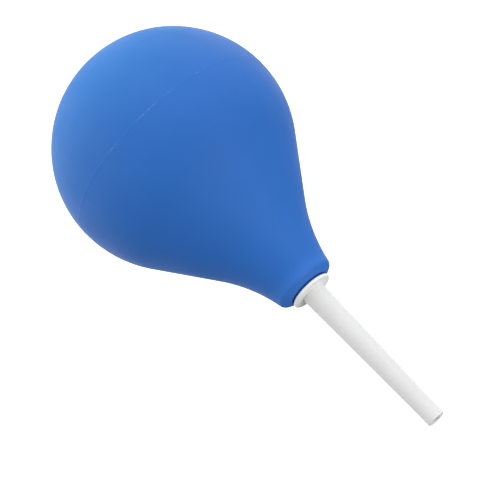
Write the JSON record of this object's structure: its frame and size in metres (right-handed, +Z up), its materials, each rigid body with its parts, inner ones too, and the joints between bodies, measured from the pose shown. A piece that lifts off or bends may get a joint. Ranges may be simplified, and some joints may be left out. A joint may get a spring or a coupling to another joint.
{
  "type": "nasal aspirator",
  "caption": "Nasal aspirator: a round rubber squeeze bulb that tapers to a neck, with a long plain screw-in nozzle.",
  "frame": {"origin": "middle of the foot's flat face, on the surface that the bulb stands on", "axes": "+Z up along the nozzle's axis, from the foot to the tip; -Y towards the front squeeze wall; +X to the right"},
  "size_m": [0.102, 0.102, 0.2079],
  "materials": {
    "bulb_rubber": "soft satin, moulded",
    "seal_rubber": "matt",
    "nozzle_plastic": "low gloss, moulded",
    "insert_plastic": "matt, moulded"
  },
  "bodies": {
    "bulb": {"bulb_body": "bulb_rubber", "neck_insert": "insert_plastic"},
    "front_wall": {"front_squeeze_wall": "bulb_rubber"},
    "rear_wall": {"rear_squeeze_wall": "bulb_rubber"},
    "seal": {"sealing_ring": "seal_rubber"},
    "nozzle": {"nozzle": "nozzle_plastic"}
  },
  "joints": [
    {"name": "squeeze_front", "type": "slide", "parent": "bulb", "child": "front_wall", "axis": [0, 1, 0], "range_m": [0, 0.022], "stiffness_N_per_m": 400},
    {"name": "squeeze_rear", "type": "slide", "parent": "bulb", "child": "rear_wall", "axis": [0, -1, 0], "range_m": [0, 0.022], "stiffness_N_per_m": 400},
    {"name": "nozzle_lift", "type": "slide", "parent": "bulb", "child": "seal", "axis": [0, 0, 1], "range_m": [0, 0.0091]},
    {"name": "nozzle_turn", "type": "hinge", "parent": "seal", "child": "nozzle", "pos_m": [0, 0, 0.1339], "axis": [0, 0, 1], "range_deg": [0, 1080]}
  ],
  "couplings": [
    {"joint": "squeeze_rear", "follows": "squeeze_front", "ratio": 1},
    {"joint": "nozzle_lift", "follows": "nozzle_turn", "m_per_rad": 0.00047746}
  ]
}
